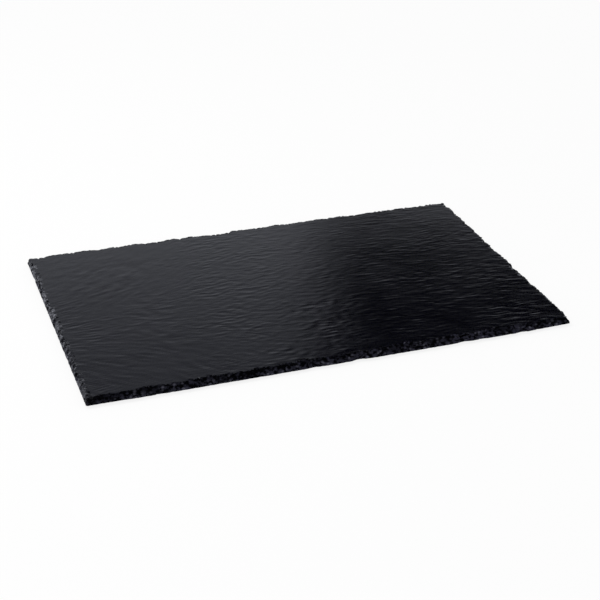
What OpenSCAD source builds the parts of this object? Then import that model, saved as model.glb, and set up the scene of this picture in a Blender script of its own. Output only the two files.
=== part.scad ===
// Slate serving board: one riven slate plate with broken edges, on four stick-on rubber feet.
// Millimetres. +Z is up, +X runs along the long side, and the front edge faces -Y.
// The origin is on the table, under the middle of the plate.

/* [Slate plate] */
// Length of the plate along X, at its lower rim
plate_length = 530; // [300:5:700]
// Depth of the plate along Y, at its lower rim
plate_depth = 325; // [180:5:450]
// Thickness of the slate
plate_thickness = 7; // [5:0.5:10]
// Radius of the four corners in plan
corner_radius = 2; // [1.5:0.5:6]

/* [Broken edge] */
// How far the broken slope runs in from the front rim
front_slope = 4.5; // [2:0.5:7]
// How far the broken slope runs in from the back rim
back_slope = 2; // [1:0.5:5]
// How far the broken slope runs in from the left rim
left_slope = 1.5; // [1:0.5:5]
// How far the broken slope runs in from the right rim
right_slope = 1; // [1:0.5:5]
// Length of a common flake scar along the edge
scar_length = 18; // [10:1:30]
// Deepest bite of a common flake scar into the top face
scar_bite = 3; // [1:0.25:4]
// Deepest nick in the lower rim
rim_nick = 2; // [0.4:0.1:3]
// Size of the grain that roughens the broken stone
grain = 0.3; // [0.1:0.05:0.5]
// Distance between the points that shape the edge
edge_step = 3; // [2.5:0.5:6]

/* [Feet] */
// Diameter of a foot where it is stuck on
foot_diameter = 12; // [8:0.5:20]
// Diameter of a foot's sole, where it meets the table
sole_diameter = 10; // [6:0.5:18]
// Height of a foot
foot_height = 2.5; // [1.5:0.25:5]
// Rounding of a foot's lower edge
foot_rounding = 0.6; // [0.2:0.1:1]
// Distance from the plate's sides to the middle of a foot
foot_inset = 40; // [20:5:80]

/* [Adhesive pads] */
// Diameter of the adhesive pad between a foot and the slate
pad_diameter = 11; // [7:0.5:18]
// Thickness of the adhesive pad
pad_thickness = 0.3; // [0.2:0.05:1]

/* [Hidden] */

plate_bottom = foot_height + pad_thickness;
foot_x = plate_length / 2 - foot_inset;
foot_y = plate_depth / 2 - foot_inset;
// Sides of a round piece's mesh
circle_steps = 64;

// The four sides, in the order that the outline walks them, anticlockwise from above.
FRONT = 0;
RIGHT = 1;
BACK = 2;
LEFT = 3;
side_lengths = [plate_length, plate_depth, plate_length, plate_depth];
slopes = [front_slope, right_slope, back_slope, left_slope];
side_steps = [for (side = [FRONT:LEFT]) round(side_lengths[side] / edge_step)];
corner_steps = 3;

// The edge is a stack of rings. Each has a height, as a share of the thickness, and a place
// on the slope, as a share of its run. Rings close in height are a ledge of the cleavage.
ring_height_shares = [0, 0.10, 0.36, 0.44, 0.70, 0.78, 1];
ring_slope_shares = [0.06, 0, 0.16, 0.42, 0.52, 0.86, 1];
top_ring = len(ring_height_shares) - 1;
// The ledges rise and fall along the edge. How far, as shares of the thickness for the rim, the
// lower ledge and the upper ledge, and in how many waves round the plate.
ledge_rise_shares = [0.03, 0.08, 0.08];
ledge_waves = [29, 53];
// How far a point of a ledge strays from that, as a share of the thickness
ledge_stray_share = 0.035;

// Large flake scars that give a side its outline, one list a side: [place, length, bite, lean].
// The first three are shares of half the side's length, from its middle towards the walk's end, of
// scar_length and of scar_bite. The lean is where the scar is deepest, as a share of its half
// length from its middle.
large_scar_shares = [
    [[-0.95, 1.3, 0.7, 0.3], [-0.78, 1.0, 0.5, -0.4], [-0.56, 1.6, 0.8, 0.5], [-0.33, 1.1, 0.5, 0],
     [-0.12, 1.8, 0.9, -0.5], [0.07, 1.2, 0.6, 0.2], [0.26, 1.7, 0.8, 0.6], [0.45, 1.1, 0.5, -0.3],
     [0.66, 1.5, 0.8, 0.4], [0.86, 1.3, 0.7, -0.5]],
    [[-0.98, 0.7, 0.7, 0], [-0.87, 0.8, 0.35, 0.4], [-0.75, 0.6, 0.4, 0], [-0.61, 0.8, 0.3, 0.3],
     [-0.46, 0.8, 0.85, -0.6], [-0.35, 0.5, 0.35, 0], [-0.22, 0.9, 0.8, -0.2], [0.05, 1.0, 0.4, 0.3],
     [0.13, 0.8, 0.75, -0.5], [0.24, 0.7, 0.65, 0.2], [0.42, 0.8, 0.45, 0.5], [0.58, 0.7, 0.55, -0.6],
     [0.77, 0.8, 0.35, 0], [0.96, 0.9, 0.9, -0.6]],
    [[-0.98, 0.9, 0.8, 0.3], [-0.85, 1.0, 0.8, 0.5], [-0.72, 1.3, 0.4, 0], [-0.55, 1.6, 0.8, 0.4],
     [-0.39, 0.8, 0.4, -0.2], [-0.29, 0.8, 0.6, 0.6], [-0.20, 1.4, 0.6, -0.4], [-0.05, 1.9, 0.7, 0.3],
     [0.15, 2.2, 1.5, -0.4], [0.21, 1.5, 0.9, 0], [0.31, 0.9, 0.7, 0.5], [0.46, 1.8, 0.95, -0.6],
     [0.60, 0.8, 0.8, -0.5], [0.69, 1.1, 0.8, -0.6], [0.97, 1.2, 1.1, -0.8]],
    [[-0.90, 0.9, 0.5, 0.4], [-0.66, 1.1, 0.6, -0.3], [-0.41, 0.8, 0.4, 0], [-0.17, 1.2, 0.6, 0.5],
     [0.08, 0.9, 0.5, -0.5], [0.33, 1.1, 0.7, 0.2], [0.57, 0.8, 0.4, 0], [0.80, 1.2, 0.6, -0.4]]];

// Nicks in the lower rim, one list a side: [place, length, depth], as shares of half the side's
// length, of scar_length and of rim_nick. The two longest draw the front in towards its ends.
nick_shares = [
    [[-0.97, 6, 0.45], [-0.94, 0.8, 0.4], [-0.86, 0.6, 0.35], [-0.73, 0.8, 0.3], [-0.12, 1.1, 0.6],
     [0.07, 1.3, 0.9], [0.52, 1.2, 0.7], [0.60, 0.8, 0.4], [0.78, 1.1, 0.6], [0.99, 7, 0.8]],
    [[-0.80, 0.9, 0.4], [-0.30, 0.8, 0.3], [0.19, 1.0, 0.5], [0.70, 0.7, 0.35]],
    [[-0.66, 0.9, 0.5], [-0.21, 1.1, 0.4], [0.14, 1.8, 0.9], [0.48, 1.0, 0.4], [0.83, 0.8, 0.5]],
    [[-0.73, 0.9, 0.3], [0.45, 0.7, 0.2]]];

// Small scars lie between and over the large ones. Their spacing is a share of scar_length, and
// their lengths, bites and leans are drawn from these shares.
small_scar_spacing_share = 0.45;
small_length_shares = [0.25, 0.75];
small_bite_shares = [0.08, 0.45];
small_lean_shares = [-0.6, 0.6];
// Where a scar runs out, as a share of the thickness up from the lower rim
scar_root_shares = [0, 0.5];
// How fast a scar deepens from its root to the top face: below 1 it is hollow, above 1 it is full
rise_power = 0.8;
scar_seed = 11;
grain_seed = 83;

function mix(a, b, t) = a + (b - a) * t;
function pick(span, t) = mix(span[0], span[1], t);

// The lower rim is a rounded rectangle. A place on it is share t of a straight side, or of the
// corner that follows that side.
plate_half = [plate_length, plate_depth] / 2;
function next_side(side) = (side + 1) % len(slopes);
function last_side(side) = (side + len(slopes) - 1) % len(slopes);
function side_vector(side) = [cos(90 * side), sin(90 * side)];
function corner_centre(side) =
    let (sign_x = side == FRONT || side == RIGHT ? 1 : -1, sign_y = side == RIGHT || side == BACK ? 1 : -1)
    [sign_x * (plate_half.x - corner_radius), sign_y * (plate_half.y - corner_radius)];
function side_point(side, t) =
    mix(corner_centre(last_side(side)), corner_centre(side), t) + corner_radius * side_vector(side - 1);
function corner_point(side, t) = corner_centre(side) + corner_radius * side_vector(side - 1 + t);

// Every station of the edge: [side, share along it, whether it lies on the corner that follows].
stations = [for (side = [FRONT:LEFT]) each concat(
    [for (i = [0:side_steps[side] - 1]) [side, i / side_steps[side], false]],
    [for (i = [0:corner_steps - 1]) [side, i / corner_steps, true]])];
station_count = len(stations);
rim = [for (s = stations) s[2] ? corner_point(s[0], s[1]) : side_point(s[0], s[1])];

// Flake scars: [centre along the side from its middle, half length, bite, lean share, root height share].
function large_scars(side) = [for (s = large_scar_shares[side])
    [s[0] * side_lengths[side] / 2, s[1] * scar_length / 2, s[2] * scar_bite, s[3], scar_root_shares[0]]];
function small_scars(side) =
    let (count = round(side_lengths[side] / (small_scar_spacing_share * scar_length)),
         place = rands(0, 1, count, scar_seed + side),
         size = rands(0, 1, count, scar_seed + side + len(slopes)),
         depth = rands(0, 1, count, scar_seed + side + 2 * len(slopes)),
         root = rands(0, 1, count, scar_seed + side + 3 * len(slopes)),
         lean = rands(0, 1, count, scar_seed + side + 4 * len(slopes)))
    [for (i = [0:count - 1])
        [((i + place[i]) / count - 0.5) * side_lengths[side],
         pick(small_length_shares, size[i]) * scar_length / 2,
         pick(small_bite_shares, pow(depth[i], 2)) * scar_bite,
         pick(small_lean_shares, lean[i]),
         pick(scar_root_shares, root[i])]];
scars = [for (side = [FRONT:LEFT]) concat(large_scars(side), small_scars(side))];

// A scar is a shallow scoop along the edge, abrupt at the end that it leans to, and it is
// deeper the higher it is on the edge.
function scoop(u, lean) =
    let (v = (u - lean) / (u < lean ? 1 + lean : 1 - lean))
    abs(u) < 1 ? sqrt(1 - v * v) : 0;
function rise(h, root) = h > root ? pow((h - root) / (1 - root), rise_power) : 0;
function bite(side, along, h) =
    max([for (s = scars[side]) s[2] * scoop((along - s[0]) / s[1], s[3]) * rise(h, s[4])]);

// The lower rim is straight, with a soft nick here and there.
function dip(u) = abs(u) < 1 ? pow(cos(90 * u), 2) : 0;
function nick(side, along) = rim_nick * max([for (n = nick_shares[side])
    n[2] * dip((along - n[0] * side_lengths[side] / 2) / (n[1] * scar_length / 2))]);

// How far in from the rim the stone is broken at one place of a side, on one ring.
function side_inset(side, along, ring) =
    slopes[side] * ring_slope_shares[ring]
    + bite(side, along, ring_height_shares[ring])
    + nick(side, along) * (1 - ring_height_shares[ring]);

// The break draws a station in from its own side, and with the nearer corner along that side.
function station_insets(s, ring) =
    let (side = s[0], half = side_lengths[side] / 2, along = s[2] ? half : (2 * s[1] - 1) * half,
         near = along < 0 ? last_side(side) : next_side(side),
         own = side_inset(side, along, ring),
         other = side_inset(near, (along < 0 ? 1 : -1) * side_lengths[near] / 2, ring))
    side == FRONT || side == BACK ? [other, own] : [own, other];

// The grain only takes stone away, so that the plate keeps its length and depth.
grain_draw = rands(0, 1, station_count * (top_ring + 1), grain_seed);
stray_draw = rands(-1, 1, station_count * (top_ring + 1), grain_seed + 1);
function ledge_rise(i, ring) =
    let (ledge = floor(ring / 2), turn = 360 * i / station_count)
    ledge_rise_shares[ledge]
    * (sin(ledge_waves[0] * turn + 120 * ledge) + sin(ledge_waves[1] * turn - 120 * ledge)) / 2;
function ring_point(i, ring) =
    let (draw = i + ring * station_count,
         rough = grain * pow(grain_draw[draw], 2),
         insets = station_insets(stations[i], ring) + [rough, rough],
         loose = ring == 0 || ring == top_ring ? 0
             : ledge_rise(i, ring) + ledge_stray_share * stray_draw[draw])
    [rim[i].x * (1 - insets.x / plate_half.x),
     rim[i].y * (1 - insets.y / plate_half.y),
     plate_bottom + plate_thickness * (ring_height_shares[ring] + loose)];

module slate_plate() {
    points = [for (ring = [0:top_ring]) for (i = [0:station_count - 1]) ring_point(i, ring)];
    walls = [for (ring = [0:top_ring - 1]) for (i = [0:station_count - 1])
        let (a = ring * station_count + i,
             b = ring * station_count + (i + 1) % station_count,
             c = b + station_count,
             d = a + station_count)
        each [[a, d, c], [a, c, b]]];
    underside = [for (i = [0:station_count - 1]) i];
    top_face = [for (i = [station_count - 1:-1:0]) top_ring * station_count + i];
    color([0.16, 0.165, 0.18])
        polyhedron(points, concat(walls, [underside, top_face]), convexity = 4);
}

// A foot is a low rubber button, wider where it is stuck on than at its sole.
module foot(x, y) {
    sole_radius = sole_diameter / 2;
    base_radius = foot_diameter / 2;
    color([0.06, 0.06, 0.065])
        translate([x, y, 0])
            rotate_extrude($fn = circle_steps)
                polygon(concat(
                    [[0, 0]],
                    [for (a = [-90:15:0])
                        [sole_radius - foot_rounding + foot_rounding * cos(a),
                         foot_rounding + foot_rounding * sin(a)]],
                    [[base_radius, foot_height], [0, foot_height]]));
}

// The pad is the double-sided adhesive that holds a foot to the slate.
module adhesive_pad(x, y) {
    color([0.82, 0.82, 0.78])
        translate([x, y, foot_height])
            cylinder(d = pad_diameter, h = pad_thickness, $fn = circle_steps);
}

slate_plate();
foot(-foot_x, -foot_y);  // foot_front_left
foot(foot_x, -foot_y);  // foot_front_right
foot(-foot_x, foot_y);  // foot_back_left
foot(foot_x, foot_y);  // foot_back_right
adhesive_pad(-foot_x, -foot_y);  // adhesive_pad_front_left
adhesive_pad(foot_x, -foot_y);  // adhesive_pad_front_right
adhesive_pad(-foot_x, foot_y);  // adhesive_pad_back_left
adhesive_pad(foot_x, foot_y);  // adhesive_pad_back_right
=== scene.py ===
"""Slate serving board: a riven slate plate with broken edges on four stick-on rubber feet.

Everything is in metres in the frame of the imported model: +Z is up, +X runs along the long side,
and the front edge faces -Y. The slate is rebuilt over the model's own outline with its riven
relief and broken stone, and the feet and their adhesive keep the model's shapes.
"""

import logging
import math
from collections.abc import Iterator
from contextlib import contextmanager
from dataclasses import dataclass, field
from enum import Enum

import bpy
import numpy as np
from mathutils import Matrix, Vector


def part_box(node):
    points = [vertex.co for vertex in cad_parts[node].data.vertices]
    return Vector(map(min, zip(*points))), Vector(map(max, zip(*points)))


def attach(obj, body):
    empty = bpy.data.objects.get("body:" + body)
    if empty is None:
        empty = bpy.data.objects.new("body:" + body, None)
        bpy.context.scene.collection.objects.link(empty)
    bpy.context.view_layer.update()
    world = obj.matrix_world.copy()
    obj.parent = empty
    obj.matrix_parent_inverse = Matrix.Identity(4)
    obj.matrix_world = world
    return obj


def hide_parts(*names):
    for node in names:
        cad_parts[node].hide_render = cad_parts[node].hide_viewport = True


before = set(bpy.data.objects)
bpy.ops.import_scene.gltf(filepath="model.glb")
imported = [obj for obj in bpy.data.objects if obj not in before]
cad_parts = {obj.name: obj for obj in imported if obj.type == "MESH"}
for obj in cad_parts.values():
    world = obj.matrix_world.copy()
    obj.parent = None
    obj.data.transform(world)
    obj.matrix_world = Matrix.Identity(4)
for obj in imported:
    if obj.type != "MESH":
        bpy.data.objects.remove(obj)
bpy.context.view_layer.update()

LOG = logging.getLogger("slate_board")
BODY = "root"
MM = 0.001
POINTS_AT_ONCE = 4000
TINY = 1e-9

# Gaps within which points are welded, lie in one plane, and lie level, in millimetres

WELD_GAP = 0.01
PLANE_GAP = 0.01
LEVEL_GAP = 0.001

# Short names for types. Cells are the cells of noise in a unit of each axis, and a span is two values and
# what they become, which is 0 and 1 where it says nothing else

Array = np.ndarray
Piece = bpy.types.Object
Socket = bpy.types.NodeSocket
Colour = tuple[float, float, float]
Cells = tuple[float, float, float]
Pair = tuple[float, float]
Triple = tuple[float, float, float]
Span = tuple[float, ...]


class Corner(Enum):
    """The four corners that carry a foot."""

    FRONT_LEFT = "front_left"
    FRONT_RIGHT = "front_right"
    BACK_LEFT = "back_left"
    BACK_RIGHT = "back_right"


class Slot(Enum):
    """The record's material slots."""

    SLATE = "slate"
    FOOT_RUBBER = "foot_rubber"
    ADHESIVE = "adhesive"


class Skin(Enum):
    """The two kinds of surface on the slate, as indices of its material slots."""

    RIVEN = 0
    BROKEN = 1


# Small helpers for selecting and for noise


@contextmanager
def edit_mode(kind: str) -> Iterator[None]:
    """Work on the active object's mesh in edit mode, and go back to object mode.

    Args:
        kind: What is selected there, such as FACE.
    """
    bpy.ops.object.mode_set(mode="EDIT")
    bpy.ops.mesh.select_mode(type=kind)
    yield
    bpy.ops.object.mode_set(mode="OBJECT")


def select_only(*pieces: Piece) -> None:
    """Deselect everything, then select these pieces.

    Args:
        pieces: The pieces to select. The first becomes the active one.
    """
    bpy.ops.object.select_all(action="DESELECT")
    for piece in pieces:
        piece.select_set(True)
    bpy.context.view_layer.objects.active = pieces[0]


def smooth_share(value: Array, low: float, high: float) -> Array:
    """Rise smoothly from 0 at low to 1 at high, which may be below low."""
    t = np.clip((value - low) / (high - low), 0.0, 1.0)
    return t * t * (3.0 - 2.0 * t)


def gradient_noise(x: Array, y: Array, seed: int) -> Array:
    """Smooth noise with cells of one unit.

    Args:
        x: First coordinates.
        y: Second coordinates, of the same shape.
        seed: Picks the pattern.

    Returns:
        Values of about -1 to 1.
    """
    rng = np.random.default_rng(seed)
    order = rng.permutation(512)
    angles = rng.uniform(0.0, 2.0 * math.pi, 512)
    column, row = np.floor(x).astype(int), np.floor(y).astype(int)
    fx, fy = x - column, y - row

    def corner(dx: int, dy: int) -> Array:
        """The slope of one cell corner at each point."""
        turn = angles[order[(order[(column + dx) & 511] + row + dy) & 511]]
        return np.cos(turn) * (fx - dx) + np.sin(turn) * (fy - dy)

    sx, sy = fx ** 3 * (fx * (6 * fx - 15) + 10), fy ** 3 * (fy * (6 * fy - 15) + 10)
    low = corner(0, 0) * (1 - sx) + corner(1, 0) * sx
    high = corner(0, 1) * (1 - sx) + corner(1, 1) * sx
    return 1.5 * (low * (1 - sy) + high * sy)


def vertex_places(mesh: bpy.types.Mesh) -> Array:
    """Read a mesh's points.

    Args:
        mesh: The mesh to read.

    Returns:
        An array of three columns, in millimetres.
    """
    flat = np.empty(len(mesh.vertices) * 3)
    mesh.vertices.foreach_get("co", flat)
    return flat.reshape(-1, 3) / MM


def place_vertices(mesh: bpy.types.Mesh, places: Array) -> None:
    """Write a mesh's points, given in millimetres."""
    mesh.vertices.foreach_set("co", (places * MM).ravel())
    mesh.update()


# Finishes


@dataclass(frozen=True)
class Mottle:
    """A noise with a number of finer layers, their strength, and how far it distorts itself."""

    cells: Cells
    detail: float
    rough: float
    twist: float = 0.0


class NodeSheet:
    """The nodes of a material or a world, added and joined in a few words."""

    def __init__(self, owner: bpy.types.Material | bpy.types.World, shader: str = "Principled BSDF") -> None:
        """Start with one shader.

        Args:
            owner: What the nodes belong to.
            shader: The shader's name.
        """
        owner.use_nodes = True
        self.owner = owner
        self.tree = owner.node_tree
        self.shader = self.tree.nodes[shader]

    @classmethod
    def named(cls, name: str) -> "NodeSheet":
        """Start a material with this name."""
        return cls(bpy.data.materials.new(name))

    def add(self, kind: str, **settings: object) -> bpy.types.Node:
        """Add a node.

        Args:
            kind: The node's type without its common beginning.
            settings: Properties of the node, or what its inputs take, by name.

        Returns:
            The new node.
        """
        node = self.tree.nodes.new("ShaderNode" + kind)
        for key, value in settings.items():
            if hasattr(node, key):
                setattr(node, key, value)
            else:
                self.fill(node, **{key: value})
        return node

    def join(self, source: Socket, target: Socket) -> None:
        """Join an output to an input."""
        self.tree.links.new(source, target)

    def fill(self, node: bpy.types.Node, **inputs: object) -> None:
        """Give inputs of a node what they take.

        Args:
            node: The node.
            inputs: Numbers, colours or outputs by the input's name, with _ for a space.
        """
        for key, value in inputs.items():
            target = node.inputs[key.replace("_", " ")]
            if isinstance(value, Socket):
                self.join(value, target)
            else:
                target.default_value = value

    def place(self) -> Socket:
        """The places on the object, in metres."""
        return self.add("TexCoord").outputs["Object"]

    def axes(self, source: Socket) -> tuple[Socket, ...]:
        """Split coordinates into the value along each axis."""
        return tuple(self.add("SeparateXYZ", Vector=source).outputs)

    def seen(self) -> Socket:
        """1 for rays that see the surface, straight, mirrored or through glass, and 0 for the others."""
        rays = self.add("LightPath").outputs
        return self.sum("MAXIMUM", self.sum("MAXIMUM", rays["Is Camera Ray"], rays["Is Glossy Ray"]),
                        rays["Is Transmission Ray"])

    def texture(self, kind: str, source: Socket, cells: Cells, **settings: float) -> bpy.types.NodeOutputs:
        """Add a texture with this many cells in a unit of each axis, and these inputs."""
        place = self.add("Mapping", Vector=source, Scale=cells).outputs["Vector"]
        return self.add(kind, Vector=place, Scale=1.0, **settings).outputs

    def noise(self, source: Socket, mottle: Mottle) -> Socket:
        """Add a noise texture, with values of about 0 to 1."""
        settings = {"Detail": mottle.detail, "Roughness": mottle.rough, "Distortion": mottle.twist}
        return self.texture("TexNoise", source, mottle.cells, **settings)["Fac"]

    def grains(self, source: Socket, scale: Cells) -> tuple[Socket, Socket]:
        """Add a texture of grains.

        Args:
            source: The coordinates.
            scale: How many grains a unit of each axis holds.

        Returns:
            A number for each grain, and the distance from the grain's middle.
        """
        results = self.texture("TexVoronoi", source, scale)
        parts = self.add("SeparateColor", Color=results["Color"])
        return parts.outputs["Red"], results["Distance"]

    def ranged(self, source: Socket, low: float, high: float, to_low: float = 0.0, to_high: float = 1.0,
               kind: str = "SMOOTHSTEP") -> Socket:
        """Map the span from low to high to the one from to_low to to_high, and hold its ends."""
        node = self.add("MapRange", interpolation_type=kind, Value=source, From_Min=low, From_Max=high,
                        To_Min=to_low, To_Max=to_high)
        return node.outputs["Result"]

    def sum(self, operation: str, first: Socket, second: Socket | float) -> Socket:
        """Work out one sum.

        Args:
            operation: The sum's name, such as MAXIMUM.
            first: The first value.
            second: The second value.

        Returns:
            The result.
        """
        node = self.add("Math", operation=operation)
        self.join(first, node.inputs[0])
        if isinstance(second, (int, float)):
            node.inputs[1].default_value = second
        else:
            self.join(second, node.inputs[1])
        return node.outputs["Value"]

    def product(self, first: Socket, *others: Socket | float) -> Socket:
        """Multiply values.

        Args:
            first: The first value.
            others: The values to multiply it by.

        Returns:
            Their product.
        """
        for other in others:
            first = self.sum("MULTIPLY", first, other)
        return first

    def mixed(self, share: Socket, first: Colour | Socket, second: Colour | Socket) -> Socket:
        """Mix two colours.

        Args:
            share: How much of the second shows.
            first: The first colour.
            second: The second colour.

        Returns:
            The mixed colour.
        """
        node = self.add("Mix", data_type="RGBA")
        self.join(share, node.inputs["Factor"])
        for colour, socket in ((first, node.inputs[6]), (second, node.inputs[7])):
            if isinstance(colour, tuple):
                socket.default_value = (*colour, 1.0)
            else:
                self.join(colour, socket)
        return node.outputs[2]

    def bumped(self, *layers: tuple[Socket, float]) -> Socket:
        """Add relief to the normals.

        Args:
            layers: Each relief, from 0 to 1, with what 1 stands for in metres.

        Returns:
            The normals.
        """
        below: dict[str, Socket] = {}
        for height, depth in layers:
            node = self.add("Bump", Strength=1.0, Distance=depth, Height=height, **below)
            below = {"Normal": node.outputs["Normal"]}
        return below["Normal"]

    def finish(self, colour: Socket, roughness: Socket, normal: Socket, specular: float,
               tint: Colour = (1.0, 1.0, 1.0)) -> bpy.types.Material:
        """Join the results to the shader.

        Args:
            colour: The base colour.
            roughness: The roughness.
            normal: The normals.
            specular: The shader's specular level.
            tint: The colour of its shine.

        Returns:
            The finished material.
        """
        self.fill(self.shader, Base_Color=colour, Roughness=roughness, Normal=normal,
                  Specular_IOR_Level=specular, Specular_Tint=(*tint, 1.0))
        return self.owner

    def show(self, output: Socket) -> None:
        """Show a shader on the surface instead of the first one."""
        self.join(output, self.tree.nodes["Material Output"].inputs["Surface"])

    def shine(self, tint: Colour, strength: Socket) -> bpy.types.Material:
        """Let the surface give light of this colour and strength."""
        self.show(self.add("Emission", Color=(*tint, 1.0), Strength=strength).outputs[0])
        return self.owner


@dataclass(frozen=True)
class RivenSlate:
    """The split face: dark oiled stone with fine strokes along its grain.

    Strokes and hairs are counted in a millimetre of the grain, clouds and speckles in a metre. The depths
    are those of the strokes, hairs and speckles, in metres. Polish is the span of the shader's roughness.
    """

    oiled: Colour = (0.0006, 0.0006, 0.0024)
    dry: Colour = (0.0010, 0.0010, 0.0032)
    crest: Colour = (0.013, 0.0133, 0.018)
    crest_share: float = 0.6
    shine: Colour = (0.82, 0.84, 1.0)
    specular: float = 0.5
    strokes: Mottle = Mottle((0.055, 0.40, 0.0), 2.0, 0.5, 0.4)
    hairs: Mottle = Mottle((0.12, 2.2, 0.0), 1.0, 0.5)
    clouds: Mottle = Mottle((14.0, 18.0, 0.0), 3.0, 0.55, 0.6)
    speckles: Mottle = Mottle((900.0, 900.0, 900.0), 2.0, 0.6)
    dry_span: Span = (0.38, 0.62)
    stroke_span: Span = (0.52, 0.75)
    height_span: Span = (0.35, 0.95)
    hair_span: Span = (0.35, 0.7)
    cloud_polish: Span = (0.3, 0.7, 0.13, 0.17)
    speckle_polish: Span = (0.3, 0.7, -0.01, 0.03)
    relief_depths: Triple = (0.00004, 0.000004, 0.000006)

    def material(self) -> bpy.types.Material:
        """Make the material. Its strokes follow the grain attribute, in millimetres.

        Returns:
            The finished material.
        """
        sheet = NodeSheet.named("riven_slate")
        place = sheet.place()
        grain = sheet.add("Attribute", attribute_name="grain").outputs["Vector"]
        relief = sheet.axes(grain)[2]
        strokes, hairs = sheet.noise(grain, self.strokes), sheet.noise(grain, self.hairs)
        clouds, speckles = sheet.noise(place, self.clouds), sheet.noise(place, self.speckles)

        body = sheet.mixed(sheet.ranged(clouds, *self.dry_span), self.oiled, self.dry)
        bright = sheet.product(sheet.ranged(strokes, *self.stroke_span),
                               sheet.ranged(relief, *self.height_span),
                               sheet.ranged(hairs, *self.hair_span), self.crest_share)
        colour = sheet.mixed(bright, body, self.crest)
        roughness = sheet.sum("ADD", sheet.ranged(clouds, *self.cloud_polish),
                              sheet.ranged(speckles, *self.speckle_polish))
        normal = sheet.bumped(*zip((strokes, hairs, speckles), self.relief_depths))
        return sheet.finish(colour, roughness, normal, self.specular, self.shine)


@dataclass(frozen=True)
class BrokenSlate:
    """The broken edge: rough black stone with small chips and painted shade, pale painted light at the
    left end, which faces the light, and bruised pale on the far rims.

    Cells are counted in a metre. An end is given by where its pale marks start and where they are full, and
    left_corner and left_growth say the same along the left end, from the front.
    """

    deep: Colour = (0.0006, 0.0006, 0.0012)
    stone: Colour = (0.0190, 0.0190, 0.0290)
    chip: Colour = (0.060, 0.060, 0.079)
    bruise_and_painted_light: Colour = (0.290, 0.298, 0.335)
    specular: float = 0.012
    grain_cells: Cells = (250.0, 250.0, 380.0)
    lumps: Mottle = Mottle((220.0, 220.0, 330.0), 3.0, 0.6)
    layers: Mottle = Mottle((90.0, 90.0, 900.0), 3.0, 0.6, 0.5)
    patches: Mottle = Mottle((60.0, 60.0, 60.0), 2.0, 0.5)
    blots: Mottle = Mottle((150.0, 150.0, 120.0), 3.0, 0.6)
    specks: Mottle = Mottle((700.0, 700.0, 500.0), 2.0, 0.6)
    left_end: Span = (-0.254, -0.2605)
    left_growth: Span = (-0.17, 0.14, 0.4, 1.0)
    left_corner: Span = (-0.1585, -0.1545)
    right_end: Span = (0.250, 0.258)
    back_end: Span = (0.150, 0.157)
    front_end: Span = (-0.150, -0.140)
    height_shade: Span = (0.0094, 0.0045, 0.40, 1.25)
    patch_shade: Span = (0.38, 0.58, 0.5, 1.5)
    rim_shade: Span = (0.0, 1.0, 1.0, 0.3)
    length_shade: Span = (-0.20, 0.10, 0.85, 1.65)
    lump_span: Span = (0.44, 0.62)
    chip_grains: Span = (0.60, 1.0)
    chip_facets: Span = (0.60, 0.15)
    left_blots: Span = (0.40, 0.50)
    left_grains: Span = (0.15, 0.80, 0.20, 0.9)
    left_specks: Span = (0.42, 0.58, 0.25, 1.0)
    rim_blots: Span = (0.52, 0.62)
    rim_layers: Span = (0.40, 0.58, 0.06, 0.40)
    polish: Span = (0.3, 0.7, 0.55, 0.75)
    relief_depths: Pair = (0.00020, 0.00040)

    def material(self) -> bpy.types.Material:
        """Make the material. Its layers lie level.

        Returns:
            The finished material.
        """
        sheet = NodeSheet.named("broken_slate")
        place = sheet.place()
        x, y, z = sheet.axes(place)
        grains, facets = sheet.grains(place, self.grain_cells)
        lumps, layers = sheet.noise(place, self.lumps), sheet.noise(place, self.layers)
        blots, specks = sheet.noise(place, self.blots), sheet.noise(place, self.specks)

        # Painted light: the left end, which faces the light, is painted pale, more so towards the back.
        left = sheet.product(sheet.ranged(x, *self.left_end), sheet.ranged(y, *self.left_growth),
                             sheet.ranged(y, *self.left_corner))
        rims = sheet.sum("MAXIMUM", sheet.ranged(x, *self.right_end), sheet.ranged(y, *self.back_end))
        rims = sheet.product(rims, sheet.ranged(y, *self.front_end))
        # Painted shade: the edge is darker high up and along the right and back rims. Apart from that its
        # tone changes in patches and grows lighter towards the right.
        shade = sheet.product(sheet.ranged(z, *self.height_shade),
                              sheet.ranged(sheet.noise(place, self.patches), *self.patch_shade),
                              sheet.ranged(rims, *self.rim_shade), sheet.ranged(x, *self.length_shade))

        body = sheet.mixed(sheet.product(sheet.ranged(lumps, *self.lump_span), shade), self.deep, self.stone)
        fresh = sheet.product(sheet.ranged(grains, *self.chip_grains),
                              sheet.ranged(facets, *self.chip_facets), shade)
        body = sheet.mixed(fresh, body, self.chip)
        # Pale painted light on the left end in blots and specks, and pale bruises on the far rims.
        left = sheet.product(sheet.ranged(blots, *self.left_blots), sheet.ranged(grains, *self.left_grains),
                             sheet.ranged(specks, *self.left_specks), left)
        rims = sheet.product(rims, sheet.ranged(blots, *self.rim_blots),
                             sheet.ranged(layers, *self.rim_layers))
        colour = sheet.mixed(sheet.sum("MAXIMUM", left, rims), body, self.bruise_and_painted_light)
        roughness = sheet.ranged(lumps, *self.polish)
        normal = sheet.bumped(*zip((layers, facets), self.relief_depths))
        return sheet.finish(colour, roughness, normal, self.specular)


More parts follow.
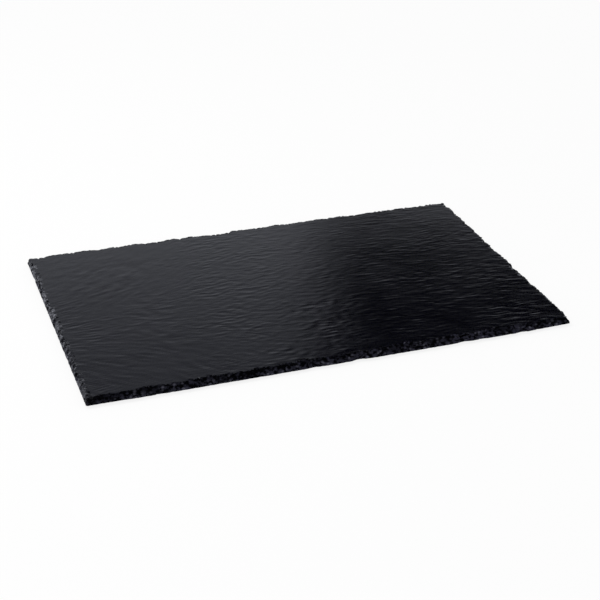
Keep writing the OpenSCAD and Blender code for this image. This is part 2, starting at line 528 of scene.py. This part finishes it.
@dataclass(frozen=True)
class FootRubber:
    """Moulded black rubber with a fine matt skin."""

    fresh: Colour = (0.012, 0.012, 0.0125)
    bloom: Colour = (0.030, 0.030, 0.031)
    specular: float = 0.4
    clouds: Mottle = Mottle((260.0, 260.0, 260.0), 3.0, 0.6)
    skin: Mottle = Mottle((3500.0, 3500.0, 3500.0), 2.0, 0.6)
    bloom_span: Span = (0.35, 0.7)
    polish: Span = (0.3, 0.7, 0.58, 0.78)
    skin_depth: float = 0.00004

    def material(self) -> bpy.types.Material:
        """Make the material.

        Returns:
            The finished material.
        """
        sheet = NodeSheet.named("moulded_rubber")
        place = sheet.place()
        clouds, skin = sheet.noise(place, self.clouds), sheet.noise(place, self.skin)
        colour = sheet.mixed(sheet.ranged(clouds, *self.bloom_span), self.fresh, self.bloom)
        roughness = sheet.ranged(clouds, *self.polish)
        return sheet.finish(colour, roughness, sheet.bumped((skin, self.skin_depth)), self.specular)


@dataclass(frozen=True)
class AdhesiveFilm:
    """Pale double-sided foam film, a little yellowed."""

    clean: Colour = (0.62, 0.61, 0.56)
    aged: Colour = (0.48, 0.45, 0.36)
    specular: float = 0.45
    stains: Mottle = Mottle((300.0, 300.0, 300.0), 3.0, 0.6)
    foam: Mottle = Mottle((4000.0, 4000.0, 4000.0), 1.0, 0.5)
    stain_span: Span = (0.4, 0.7)
    polish: Span = (0.3, 0.7, 0.42, 0.6)
    foam_depth: float = 0.00002

    def material(self) -> bpy.types.Material:
        """Make the material.

        Returns:
            The finished material.
        """
        sheet = NodeSheet.named("adhesive_film")
        place = sheet.place()
        stains, foam = sheet.noise(place, self.stains), sheet.noise(place, self.foam)
        colour = sheet.mixed(sheet.ranged(stains, *self.stain_span), self.clean, self.aged)
        roughness = sheet.ranged(foam, *self.polish)
        return sheet.finish(colour, roughness, sheet.bumped((foam, self.foam_depth)), self.specular)


# The slate. Its lengths are in millimetres, in plan, from the middle of the plate


@dataclass(frozen=True)
class RippleZone:
    """A stretch of the plate with ripples of one size.

    Attributes:
        middle: Where along the plate it has its middle.
        length, spacing, depth: Size of the ripples.
        sharpness: Share of narrow crests, from 0 to 1.
        step: Height of the small steps where thin layers end.
    """

    middle: float
    length: float
    spacing: float
    depth: float
    sharpness: float
    step: float


@dataclass(frozen=True)
class TurnedPatch:
    """A round place where the ripples run in a direction of their own.

    Attributes:
        turn: Direction of the ripples, in degrees.
        length, spacing, depth, sharpness: The ripples, as in a zone.
        hush: Share by which it lowers the zones' own ripples.
        bend, bend_cell: How far the ripples wander, in spacings, and over what length.
    """

    x: float
    y: float
    radius: float
    turn: float
    length: float
    spacing: float
    depth: float
    sharpness: float = 0.6
    hush: float = 0.75
    bend: float = 0.6
    bend_cell: float = 40.0

    def share(self, x: Array, y: Array) -> Array:
        """How much the patch has its way at each place, from 0 to 1."""
        return np.exp(-(((x - self.x) ** 2 + (y - self.y) ** 2) / self.radius ** 2) ** 2)

    def grain(self, x: Array, y: Array, seed: int) -> tuple[Array, Array]:
        """Turn places into distances along and across the patch's own grain.

        Args:
            x: Places along the plate.
            y: Places across the plate.
            seed: Picks how the ripples wander.

        Returns:
            Distance along the grain in ripple lengths, and across it in spacings.
        """
        dx, dy = x - self.x, y - self.y
        turn = math.radians(self.turn)
        along = (dx * math.cos(turn) + dy * math.sin(turn)) / self.length
        across = (dy * math.cos(turn) - dx * math.sin(turn)) / self.spacing
        return along, across + self.bend * gradient_noise(x / self.bend_cell, y / self.bend_cell, seed)


@dataclass(frozen=True)
class CalmSpot:
    """A round place where the ripples are lower, by a share."""

    x: float
    y: float
    radius: float
    share: float


@dataclass(frozen=True)
class RivenRelief:
    """The relief that splitting leaves on a slate: long low ripples that fan out at one end.

    Attributes:
        fan_from, fan_to: Where the fan is widest, and where it starts.
        fan_reach: Length over which the ripples spread by a factor of 2.7.
        fan_level: Where across the plate the ripples run straight.
        tilt, skew: Slope of the ripples, and of their ends, against the plate's sides.
        wander: How far the ripples wander, and over what lengths along and across.
        gains: Strength of the relief at the front, in the middle and at the back.
    """

    fan_from: float = -200.0
    fan_to: float = 60.0
    fan_reach: float = 120.0
    fan_level: float = -30.0
    tilt: float = 0.14
    skew: float = 0.15
    wander: tuple[Triple, ...] = ((5.5, 52.0, 60.0), (2.6, 21.0, 24.0))
    swirl_centre: Pair = (-170.0, 50.0)
    swirl_radius: float = 38.0
    swirl_turn: float = 0.7
    zones: tuple[RippleZone, ...] = (
        RippleZone(-190.0, 17.0, 8.5, 0.27, 0.6, 0.0),
        RippleZone(-60.0, 12.0, 7.6, 0.34, 0.75, 0.05),
        RippleZone(140.0, 11.0, 5.6, 0.18, 0.6, 0.15))
    zone_blend: float = 60.0
    patches: tuple[TurnedPatch, ...] = (
        TurnedPatch(-195.0, 85.0, 58.0, 54.0, 24.0, 9.0, 0.34),)
    calm_spots: tuple[CalmSpot, ...] = (
        CalmSpot(230.0, 120.0, 120.0, 0.3), CalmSpot(130.0, -150.0, 85.0, 0.38),
        CalmSpot(-200.0, -110.0, 55.0, 0.3), CalmSpot(-48.0, -142.0, 42.0, 0.45))
    broad_depth: float = 0.25
    broad_cell: Pair = (170.0, 110.0)
    calm_cell: Pair = (60.0, 40.0)
    gains: Triple = (1.8, 0.95, 0.6)
    fine_share: float = 0.4
    table_reach: int = 300
    seed: int = 5

    def bent(self, x: Array, y: Array, middle: float) -> tuple[Array, Array]:
        """Turn places into distances along and across the grain.

        Args:
            x: Places along the plate.
            y: Places across the plate.
            middle: Where along the plate the distances across are true.

        Returns:
            Distance along the grain, and distance across it.
        """
        dx, dy = x - self.swirl_centre[0], y - self.swirl_centre[1]
        turn = self.swirl_turn * np.exp(-(dx ** 2 + dy ** 2) / self.swirl_radius ** 2)
        x = self.swirl_centre[0] + dx * np.cos(turn) - dy * np.sin(turn)
        y = self.swirl_centre[1] + dx * np.sin(turn) + dy * np.cos(turn)
        table = np.linspace(-self.table_reach, self.table_reach, 2 * self.table_reach + 1)
        slope = smooth_share(table, self.fan_to, self.fan_from) / self.fan_reach
        spread = np.cumsum(slope[::-1])[::-1]
        across = (y - self.fan_level) * np.exp(np.interp(x, table, spread) - np.interp(middle, table, spread))
        across = across + self.tilt * x
        for index, (reach, cell_x, cell_y) in enumerate(self.wander):
            across = across + reach * gradient_noise(x / cell_x, y / cell_y, self.seed + 1 + index)
        return x + self.skew * y, across

    def grain(self, x: Array, y: Array) -> tuple[Array, Array]:
        """Turn places into distances along and across the grain, true at the plate's middle."""
        return self.bent(x, y, 0.0)

    def depth(self, x: Array, y: Array) -> Array:
        """How far the face lies below its highest plane.

        Args:
            x: Places along the plate.
            y: Places across the plate.

        Returns:
            Depths of 0 and more.
        """
        broad = gradient_noise(x / self.broad_cell[0], y / self.broad_cell[1], self.seed + 7)
        height = 0.5 * self.broad_depth * broad
        calm = gradient_noise(x / self.calm_cell[0], y / self.calm_cell[1], self.seed + 6)
        strength = 0.5 + 0.5 * smooth_share(calm, -0.5, 0.5)
        for index, zone in enumerate(self.zones):
            share = self.zone_share(x, index)
            along, across = self.bent(x, y, zone.middle)
            u, v = along / zone.length, across / zone.spacing
            seed = self.seed + 10 * index
            ripple = self.ripple(u, v, zone.sharpness, seed)
            height = height + zone.depth * strength * share * ripple
            height = height + zone.step * share * self.layer_ends(u, v, seed + 8)
        for index, patch in enumerate(self.patches):
            share = patch.share(x, y)
            seed = self.seed + 50 + 20 * index
            ripple = self.ripple(*patch.grain(x, y, seed), patch.sharpness, seed + 10)
            height = height * (1.0 - patch.hush * share) + patch.depth * share * ripple
        for spot in self.calm_spots:
            away = np.hypot(x - spot.x, y - spot.y)
            height = height * (1.0 - spot.share * np.exp(-(away / spot.radius) ** 2))
        height = height * np.interp(y, (y.min(), 0.0, y.max()), self.gains)
        return height.max() - height

    def zone_share(self, x: Array, index: int) -> Array:
        """How much one zone has its way along the plate.

        Args:
            x: Places along the plate.
            index: The zone's number from the left.

        Returns:
            Shares from 0 to 1, which blend into the next zone's.
        """
        share = np.ones_like(x)
        for other, blend in ((index - 1, self.zone_blend), (index + 1, -self.zone_blend)):
            if 0 <= other < len(self.zones):
                border = (self.zones[index].middle + self.zones[other].middle) / 2
                share = share * smooth_share(x, border - blend, border + blend)
        return share

    def ripple(self, u: Array, v: Array, sharpness: float, seed: int) -> Array:
        """Ripples of one size.

        Args:
            u: Places along the grain, in ripple lengths.
            v: Places across the grain, in ripple spacings.
            sharpness: Share of narrow crests, from 0 to 1.
            seed: Picks the pattern.

        Returns:
            Heights about zero, as a share of the ripples' depth.
        """
        wave = gradient_noise(u, v, seed + 3)
        crest = (1.0 - np.abs(gradient_noise(0.9 * u + 7.0, 0.9 * v, seed + 4))) ** 2 - 0.5
        fine = gradient_noise(2.3 * u, 2.1 * v, seed + 5)
        return (1.0 - sharpness) * wave + sharpness * crest + self.fine_share * fine

    @staticmethod
    def layer_ends(u: Array, v: Array, seed: int) -> Array:
        """Small broken steps where thin layers end, all facing the front.

        Args:
            u: Places along the grain, in ripple lengths.
            v: Places across the grain, in ripple spacings.
            seed: Picks the pattern.

        Returns:
            Heights of about 0 to 1, as a share of the tallest step.
        """
        turns = 0.75 * v + 0.7 * gradient_noise(0.45 * u, 0.5 * v, seed)
        part = turns - np.floor(turns)
        kept = smooth_share(gradient_noise(0.6 * u + 3.0, 0.55 * v, seed + 1), -0.2, 0.4)
        return kept * (smooth_share(part, 0.0, 0.25) - part)


@dataclass(frozen=True)
class EdgeHollows:
    """Hollows of one size in the broken edge.

    Attributes:
        length, height: Size of the cells that each can hold a hollow.
        narrowness: How much narrower the hollow is than its cell.
        foot, rise: Depth at the lower rim, as a share, and power by which it grows towards the top.
    """

    depth: float
    length: float
    height: float
    narrowness: float
    foot: float
    rise: float
    seed: int

    def bite(self, along: Array, z: Array, share: Array) -> Array:
        """How far the hollows go in, from places along the side, heights, and shares of the thickness."""
        noise = np.abs(gradient_noise(along / self.length, z / self.height, self.seed))
        hollow = self.depth * np.clip(1.0 - noise * self.narrowness, 0.0, 1.0)
        return hollow * (self.foot + (1.0 - self.foot) * share ** self.rise)


@dataclass
class SlatePlate:
    """The riven plate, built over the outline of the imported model.

    Attributes:
        face_step, under_step: Distance between mesh points along and across, on top and underneath.
        rim_gap, rim_band: Least distance of those points from the rim, and width of the band it lies in.
        layer_heights: Shares of the thickness at which open layers start and are full, downwards.
        side_shifts: Keeps opposite ends, and opposite sides, from looking alike.
        rim_keep: Level of noise above which the broken stone reaches over the rim.
        seat: Distances from a foot's middle at which the underside's relief starts, and is full.
    """

    node: str = "slate_plate"
    name: str = "riven_slate_plate"
    face_step: Pair = (3.1, 0.8)
    under_step: Pair = (6.0, 4.0)
    rim_gap: float = 0.9
    rim_band: float = 14.0
    hollows: tuple[EdgeHollows, ...] = (
        EdgeHollows(2.4, 8.0, 6.0, 4.5, 0.12, 1.5, 71),
        EdgeHollows(0.8, 2.6, 2.4, 3.4, 0.3, 1.0, 72))
    layer_depth: float = 0.5
    layer_size: Pair = (14.0, 0.9)
    layer_heights: Pair = (0.9, 0.6)
    layer_seed: int = 73
    sole_share: float = 0.02
    side_shifts: Pair = (700.0, 300.0)
    rim_keep: float = -0.05
    rim_cell: Pair = (1.9, 1.7)
    rim_seed: int = 81
    shade_angle: float = 24.0
    seat: Pair = (6.3, 16.2)
    relief: RivenRelief = RivenRelief()
    under_relief: RivenRelief = RivenRelief(
        seed=140, zones=(RippleZone(0.0, 30.0, 11.0, 0.14, 0.4, 0.0),), patches=(), fan_reach=900.0,
        swirl_turn=0.0)
    riven: RivenSlate = RivenSlate()
    broken: BrokenSlate = BrokenSlate()
    bottom: float = field(init=False)
    top: float = field(init=False)

    def __post_init__(self) -> None:
        """Read the heights of the model's plate."""
        low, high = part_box(self.node)
        self.bottom, self.top = low.z / MM, high.z / MM

    def build(self) -> Piece:
        """Make the plate.

        Returns:
            The finished piece.
        """
        plate = self.edge_band()
        self.break_edge(plate)
        self.close(plate, self.top, self.face_step)
        self.close(plate, self.bottom, self.under_step)
        with edit_mode("FACE"):
            bpy.ops.mesh.select_all(action="SELECT")
            bpy.ops.mesh.normals_make_consistent(inside=False)
        self.dress(plate)
        self.rive(plate)
        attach(plate, BODY)
        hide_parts(self.node)
        return plate

    def in_a_face(self, heights: Array) -> bool:
        """Whether points with these heights lie level in the plate's top or bottom plane."""
        level = heights.max() - heights.min() < LEVEL_GAP
        return bool(level and (heights[0] > self.top - PLANE_GAP or heights[0] < self.bottom + PLANE_GAP))

    @staticmethod
    def lie_at(height: float, *points: Array) -> bool:
        """Whether all these points lie at one height."""
        return all(abs(point[2] - height) < PLANE_GAP for point in points)

    @staticmethod
    def drop_faces(mesh: bpy.types.Mesh, chosen: list[bool]) -> None:
        """Delete faces of the active object's mesh.

        Args:
            mesh: The mesh.
            chosen: Whether to delete each face.
        """
        with edit_mode("FACE"):
            bpy.ops.mesh.select_all(action="DESELECT")
        mesh.polygons.foreach_set("select", chosen)
        with edit_mode("FACE"):
            bpy.ops.mesh.delete(type="FACE")

    def edge_band(self) -> Piece:
        """Copy the model's plate and keep only its broken edge, refined once.

        Returns:
            The band, open at its top and bottom.
        """
        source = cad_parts[self.node]
        plate = bpy.data.objects.new(self.name, source.data.copy())
        bpy.context.scene.collection.objects.link(plate)
        plate.data.name = self.name
        select_only(plate)
        with edit_mode("FACE"):
            bpy.ops.mesh.select_all(action="SELECT")
            bpy.ops.mesh.remove_doubles(threshold=WELD_GAP * MM)
        heights = vertex_places(plate.data)[:, 2]
        faces = plate.data.polygons
        self.drop_faces(plate.data, [self.in_a_face(heights[list(face.vertices)]) for face in faces])
        with edit_mode("FACE"):
            bpy.ops.mesh.select_all(action="SELECT")
            bpy.ops.mesh.subdivide(number_cuts=1)
        return plate

    def break_edge(self, plate: Piece) -> None:
        """Chip the band and open its layers. Stone is only taken away.

        Args:
            plate: The band.
        """
        places = vertex_places(plate.data)
        x, y, z = places.T
        share = (z - self.bottom) / (self.top - self.bottom)
        ends = x.max() - np.abs(x) < y.max() - np.abs(y)
        end_shift, side_shift = self.side_shifts
        along = np.where(ends, y + end_shift * np.sign(x), x + side_shift * np.sign(y))
        inward = sum(hollow.bite(along, z, share) for hollow in self.hollows)
        layers = gradient_noise(along / self.layer_size[0], z / self.layer_size[1], self.layer_seed)
        low_down = smooth_share(share, *self.layer_heights) * (share > self.sole_share)
        inward = inward + self.layer_depth * np.clip(layers, 0.0, 1.0) * low_down
        places[:, 0] -= np.where(ends, np.sign(x) * inward, 0.0)
        places[:, 1] -= np.where(ends, 0.0, np.sign(y) * inward)
        place_vertices(plate.data, places)

    def close(self, plate: Piece, height: float, step: Pair) -> None:
        """Close the band with a fine grid that is filled out to the rim.

        Args:
            plate: The band, which the grid is joined to.
            height: Height of the face to close.
            step: Distance between grid points along and across the plate.
        """
        rim = self.rim_edges(plate.data, height)
        grid = self.inner_grid(rim, height, step)
        select_only(plate, grid)
        bpy.ops.object.join()
        with edit_mode("EDGE"):
            bpy.ops.mesh.select_all(action="DESELECT")
            bpy.ops.mesh.select_non_manifold(extend=False, use_wire=False, use_boundary=True,
                                             use_multi_face=False, use_non_contiguous=False, use_verts=False)
        places = vertex_places(plate.data)
        for edge in plate.data.edges:
            if edge.select and not self.lie_at(height, *places[list(edge.vertices)]):
                edge.select = False
        with edit_mode("EDGE"):
            bpy.ops.mesh.fill(use_beauty=True)

    def rim_edges(self, mesh: bpy.types.Mesh, height: float) -> Array:
        """Find the band's open rim at one height.

        Args:
            mesh: The band's mesh.
            height: Height of the rim.

        Returns:
            The rim's edges in plan, each with two ends.
        """
        places = vertex_places(mesh)
        uses: dict[tuple[int, int], int] = {}
        for face in mesh.polygons:
            for key in face.edge_keys:
                uses[key] = uses.get(key, 0) + 1
        open_edges = [places[list(key)] for key, count in uses.items() if count == 1]
        return np.array([ends for ends in open_edges if self.lie_at(height, *ends)])[:, :, :2]

    def inner_grid(self, rim: Array, height: float, step: Pair) -> Piece:
        """Lay a grid inside a rim.

        Args:
            rim: The rim's edges in plan, each with two ends.
            height: Height of the grid.
            step: Distance between grid points along and across the plate.

        Returns:
            The grid.
        """
        size = np.abs(rim).reshape(-1, 2).max(axis=0)
        counts = [int(2 * half // distance) for half, distance in zip(size, step)]
        bpy.ops.mesh.primitive_grid_add(x_subdivisions=counts[0], y_subdivisions=counts[1], size=1.0,
                                        location=(0.0, 0.0, height * MM))
        grid = bpy.context.object
        bpy.ops.transform.resize(value=(2 * size[0] * MM, 2 * size[1] * MM, 1.0))
        bpy.ops.object.transform_apply()
        points = vertex_places(grid.data)[:, :2]
        outside = np.any(np.abs(points) > size - self.rim_band, axis=1)
        outside[outside] = self.near_or_past(points[outside], rim, self.rim_gap)
        self.drop_faces(grid.data, [any(outside[i] for i in face.vertices) for face in grid.data.polygons])
        return grid

    @staticmethod
    def near_or_past(points: Array, rim: Array, gap: float) -> Array:
        """Find the points that lie outside a rim or close to it.

        Args:
            points: Places in plan.
            rim: The rim's edges, each with two ends.
            gap: How close is too close.

        Returns:
            True for each point to leave out.
        """
        start, end = rim[:, 0], rim[:, 1]
        run = end - start
        length = np.maximum((run ** 2).sum(axis=1), TINY)
        rise = np.where(np.abs(run[:, 1]) < TINY, TINY, run[:, 1])
        result = np.zeros(len(points), bool)
        for first in range(0, len(points), POINTS_AT_ONCE):
            part = points[first:first + POINTS_AT_ONCE, None]
            offset = part - start
            share = np.clip((offset * run).sum(axis=2) / length, 0.0, 1.0)
            nearest = ((offset - share[..., None] * run) ** 2).sum(axis=2).min(axis=1)
            crossed = (start[:, 1] > part[..., 1]) != (end[:, 1] > part[..., 1])
            reach = start[:, 0] + run[:, 0] * (part[..., 1] - start[:, 1]) / rise
            inside = (crossed & (part[..., 0] < reach)).sum(axis=1) % 2 == 1
            result[first:first + POINTS_AT_ONCE] = ~inside | (nearest < gap ** 2)
        return result

    def dress(self, plate: Piece) -> None:
        """Give the faces their finishes.

        Args:
            plate: The closed plate, before its relief.
        """
        plate.data.materials.clear()
        plate.data.materials.append(self.riven.material())
        plate.data.materials.append(self.broken.material())
        places = vertex_places(plate.data)
        broken, level_faces = set(), []
        for face in plate.data.polygons:
            if self.in_a_face(places[list(face.vertices), 2]):
                level_faces.append(face)
            else:
                face.material_index = Skin.BROKEN.value
                broken.update(face.vertices)
        for face in level_faces:
            skin = Skin.RIVEN
            if any(i in broken for i in face.vertices):
                x, y, _ = places[list(face.vertices)].mean(axis=0, keepdims=True).T
                noise = gradient_noise(x / self.rim_cell[0], y / self.rim_cell[1], self.rim_seed)
                skin = Skin.BROKEN if noise[0] > self.rim_keep else Skin.RIVEN
            face.material_index = skin.value

    def rive(self, plate: Piece) -> None:
        """Give the plate its relief, keep the feet's seats flat, and store the grain for the finish.

        Args:
            plate: The closed plate.
        """
        places = vertex_places(plate.data)
        x, y, z = places.T
        share = (z - self.bottom) / (self.top - self.bottom)
        over = self.relief.depth(x, y)
        under = self.under_relief.depth(x, y)
        for corner in Corner:
            low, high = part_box("adhesive_pad_" + corner.value)
            middle = (low + high) / 2 / MM
            under *= smooth_share(np.hypot(x - middle.x, y - middle.y), *self.seat)
        places[:, 2] += under * (1.0 - share) - over * share
        place_vertices(plate.data, places)

        along, across = self.relief.grain(x, y)
        crest = 1.0 - over / over.max()
        grain = plate.data.attributes.new("grain", "FLOAT_VECTOR", "POINT")
        grain.data.foreach_set("vector", np.stack([along, across, crest], axis=1).ravel())
        select_only(plate)
        bpy.ops.object.shade_smooth_by_angle(angle=math.radians(self.shade_angle))


# The feet


@dataclass
class StickOnFeet:
    """The four rubber feet and the adhesive that holds them, in the model's own shapes."""

    rubber: FootRubber = FootRubber()
    film: AdhesiveFilm = AdhesiveFilm()

    def build(self) -> list[Piece]:
        """Dress the feet and their pads.

        Returns:
            The dressed pieces.
        """
        kinds = (("foot_", self.rubber.material(), Slot.FOOT_RUBBER),
                 ("adhesive_pad_", self.film.material(), Slot.ADHESIVE))
        return [self.dress(start + corner.value, finish, slot)
                for corner in Corner for start, finish, slot in kinds]

    def dress(self, node: str, material: bpy.types.Material, slot: Slot) -> Piece:
        """Give one of the model's pieces its finish.

        Args:
            node: The piece's name in the model.
            material: Its finish.
            slot: The record's slot for that finish. It is not used.

        Returns:
            The dressed piece.
        """
        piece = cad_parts[node]
        piece.data.materials.clear()
        piece.data.materials.append(material)
        return piece


# The studio


@dataclass
class PhotoCamera:
    """The camera, fitted to the edges of the board in the photograph. Angles are in degrees."""

    focal_pixels: float = 1362.0
    frame_pixels: float = 600.0
    sensor: float = 36.0
    azimuth: float = -20.46
    elevation: float = 28.16
    roll: float = 1.223
    distance: float = 1.507
    target: Triple = (0.0046, -0.0203, 0.0028)

    def build(self) -> None:
        """Make the camera and set it as the scene's."""
        data = bpy.data.cameras.new("photo_camera")
        data.sensor_width = self.sensor
        data.lens = self.sensor * self.focal_pixels / self.frame_pixels
        camera = bpy.data.objects.new("photo_camera", data)
        bpy.context.scene.collection.objects.link(camera)
        turn, lift = math.radians(self.azimuth), math.radians(self.elevation)
        back = Vector((math.sin(turn) * math.cos(lift), -math.cos(turn) * math.cos(lift), math.sin(lift)))
        look = (-back).to_track_quat("-Z", "Y").to_matrix()
        roll = Matrix.Rotation(math.radians(self.roll), 3, "Z")
        stand = Matrix.Translation(Vector(self.target) + back * self.distance)
        camera.matrix_world = stand @ (look @ roll).to_4x4()
        bpy.context.scene.camera = camera


@dataclass
class Studio:
    """The white floor, the soft light, and a grey tent that only polished surfaces mirror.

    Attributes:
        floor_glow, glow_reach: Share of the floor's white that is given, not lit, and the distances from
            the board between which it grows to 1.
        tent_heights, tent_falls: Heights between which the walls' greys fall, and those greys.
        dark_azimuths: Where the dark part starts, is full and starts to end, in degrees from the back
            towards the right.
        dark_steps: Heights between which the dark part gives way lower down, and by how much.
    """

    floor_half: float = 6.0
    floor_white: float = 0.95
    floor_rough: float = 0.9
    floor_glow: float = 0.85
    glow_reach: Pair = (0.8, 3.5)
    sky_light: float = 0.75
    key_power: float = 9.0
    key_size: float = 0.9
    key_place: Triple = (-0.9, 0.35, 1.5)
    tent_radius: float = 2.2
    tent_height: float = 3.0
    tent_sides: int = 96
    tent_tint: Colour = (0.93, 0.955, 1.0)
    roof_patches: Mottle = Mottle((1.7, 1.7, 0.0), 1.0, 0.5)
    roof_greys: Span = (0.40, 0.62, 0.03, 0.75)
    tent_heights: Pair = (0.75, 1.65)
    tent_falls: tuple[Pair, ...] = ((0.71, 0.06), (0.48, 0.27))
    dark_azimuths: Triple = (18.5, 26.0, 80.0)
    dark_fade: float = 0.5
    dark_steps: tuple[Triple, ...] = ((1.00, 0.68, 0.93), (1.18, 0.88, 0.07))

    def build(self) -> None:
        """Set up the floor, the world, the lamp and the tent."""
        bpy.context.scene.view_settings.view_transform = "Standard"
        self.lay_floor()
        self.light_world()
        self.hang_lamp()
        self.pitch_tent()
        self.cover_tent()

    def lay_floor(self) -> None:
        """Lay the floor under the feet."""
        bpy.ops.mesh.primitive_plane_add(size=2 * self.floor_half, location=(0.0, 0.0, 0.0))
        floor = bpy.context.object
        floor.name = "floor"
        sheet = NodeSheet.named("white_floor")
        sheet.fill(sheet.shader, Base_Color=(self.floor_white,) * 3 + (1.0,), Roughness=self.floor_rough)
        glow = sheet.add("Emission", Strength=1.0)
        away = sheet.add("VectorMath", operation="LENGTH", Vector=sheet.place())
        glowing = sheet.ranged(away.outputs["Value"], *self.glow_reach, self.floor_glow, 1.0)
        mix = sheet.add("MixShader")
        sheet.join(sheet.product(sheet.seen(), glowing), mix.inputs[0])
        sheet.join(sheet.shader.outputs[0], mix.inputs[1])
        sheet.join(glow.outputs[0], mix.inputs[2])
        sheet.show(mix.outputs[0])
        floor.data.materials.append(sheet.owner)

    def light_world(self) -> None:
        """Light the scene from all round and show white behind it."""
        world = bpy.data.worlds.new("white_room")
        bpy.context.scene.world = world
        sheet = NodeSheet(world, "Background")
        strength = sheet.ranged(sheet.seen(), 0.0, 1.0, self.sky_light, 1.0, kind="LINEAR")
        sheet.fill(sheet.shader, Color=(1.0, 1.0, 1.0, 1.0), Strength=strength)

    def hang_lamp(self) -> None:
        """Hang the large soft lamp to the left of the board."""
        data = bpy.data.lights.new("key_lamp", "AREA")
        data.shape = "DISK"
        data.size = self.key_size
        data.energy = self.key_power
        lamp = bpy.data.objects.new("key_lamp", data)
        bpy.context.scene.collection.objects.link(lamp)
        lamp.location = self.key_place
        lamp.rotation_mode = "QUATERNION"
        lamp.rotation_quaternion = (-Vector(self.key_place)).to_track_quat("-Z", "Y")

    def pitch_tent(self) -> None:
        """Put a round tent about the board, with a dark part behind it to the right, except low down."""
        bpy.ops.mesh.primitive_cylinder_add(vertices=self.tent_sides, radius=self.tent_radius,
                                            depth=self.tent_height, end_fill_type="NOTHING",
                                            location=(0.0, 0.0, 0.5 * self.tent_height))
        tent = bpy.context.object
        tent.name = "light_tent"
        bpy.ops.object.transform_apply()
        sheet = NodeSheet.named("tent_cloth")
        x, y, z = sheet.axes(sheet.place())
        turn = sheet.sum("ARCTAN2", x, y)
        near, far, last = (math.radians(angle) for angle in self.dark_azimuths)
        share = sheet.sum("MAXIMUM", sheet.ranged(turn, far, near),
                          sheet.ranged(turn, last, last + self.dark_fade))
        steps = [sheet.ranged(z, high, low, 0.0, part) for high, low, part in self.dark_steps]
        share = sheet.sum("MAXIMUM", share, sheet.sum("ADD", *steps))
        greys = [sheet.ranged(z, *self.tent_heights, *fall, kind="LINEAR") for fall in self.tent_falls]
        lit = sheet.product(sheet.sum("MAXIMUM", *greys), share)
        tent.data.materials.append(sheet.shine(self.tent_tint, lit))
        self.only_mirrored(tent)

    def cover_tent(self) -> None:
        """Close the top of the tent with cloth that lets the light through in patches."""
        bpy.ops.mesh.primitive_circle_add(vertices=self.tent_sides, radius=self.tent_radius, fill_type="NGON",
                                          location=(0.0, 0.0, self.tent_height))
        cover = bpy.context.object
        cover.name = "tent_cover"
        sheet = NodeSheet.named("cover_cloth")
        lit = sheet.ranged(sheet.noise(sheet.place(), self.roof_patches), *self.roof_greys)
        cover.data.materials.append(sheet.shine(self.tent_tint, lit))
        self.only_mirrored(cover)

    @staticmethod
    def only_mirrored(card: Piece) -> None:
        """Let only mirrored rays meet a piece of the tent, and keep it out of the object.

        Args:
            card: The piece.
        """
        card.visible_camera = False
        card.visible_diffuse = False
        card.visible_shadow = False


def main() -> None:
    """Build the camera, the slate, the feet and the studio, and report each piece."""
    logging.basicConfig(level=logging.INFO, format="%(message)s")
    PhotoCamera().build()
    pieces = [SlatePlate().build(), *StickOnFeet().build()]
    Studio().build()
    for piece in pieces:
        LOG.info("%s: %d faces", piece.name, len(piece.data.polygons))


if __name__ == "__main__":
    main()
